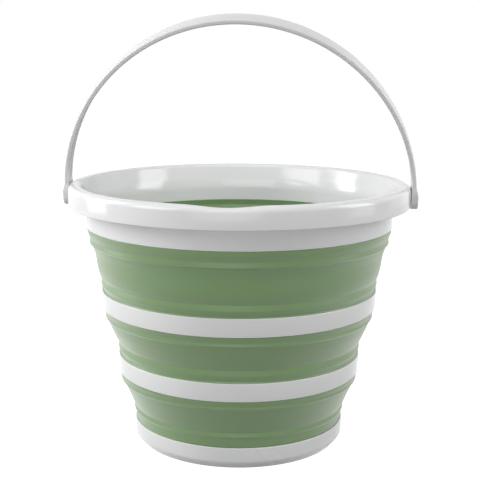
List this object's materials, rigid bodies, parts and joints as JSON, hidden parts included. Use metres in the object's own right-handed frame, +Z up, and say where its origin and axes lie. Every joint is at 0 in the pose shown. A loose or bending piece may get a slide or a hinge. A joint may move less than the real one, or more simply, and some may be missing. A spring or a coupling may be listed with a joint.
{
  "type": "collapsible bucket",
  "caption": "Round tapered bucket that nests flat: rigid rim, bands and base joined by soft folding walls, a shallow pouring dip and a snap-in bail handle that folds down round the rim.",
  "frame": {"origin": "on the floor under the middle of the base, on the bucket's round axis", "axes": "+Z up along the round axis, X along the line that the bail handle turns about, -Y towards the pouring dip"},
  "size_m": [0.3288, 0.315, 0.395],
  "materials": {
    "rim_white": "glossy moulded polypropylene",
    "band_white": "satin moulded polypropylene",
    "base_white": "satin moulded polypropylene",
    "handle_white": "glossy moulded polypropylene",
    "sage_green": "satin thermoplastic rubber"
  },
  "bodies": {
    "base": {"base_cup": "base_white", "lower_bellows": "sage_green"},
    "lower_band": {"lower_band": "band_white", "middle_bellows": "sage_green"},
    "upper_band": {"upper_band": "band_white", "upper_bellows": "sage_green"},
    "rim": {"rim_ring": "rim_white"},
    "bail": {"bail_handle": "handle_white"}
  },
  "joints": [
    {"name": "lower_fold", "type": "slide", "parent": "base", "child": "lower_band", "axis": [0, 0, -1], "range_m": [0, 0.06], "deforming": ["lower_bellows"]},
    {"name": "middle_fold", "type": "slide", "parent": "lower_band", "child": "upper_band", "axis": [0, 0, -1], "range_m": [0, 0.06], "deforming": ["middle_bellows"]},
    {"name": "upper_fold", "type": "slide", "parent": "upper_band", "child": "rim", "axis": [0, 0, -1], "range_m": [0, 0.06], "deforming": ["upper_bellows"]},
    {"name": "bail_hinge", "type": "hinge", "parent": "rim", "child": "bail", "pos_m": [0, 0, 0.2297], "axis": [1, 0, 0], "range_deg": [-106, 74]}
  ]
}
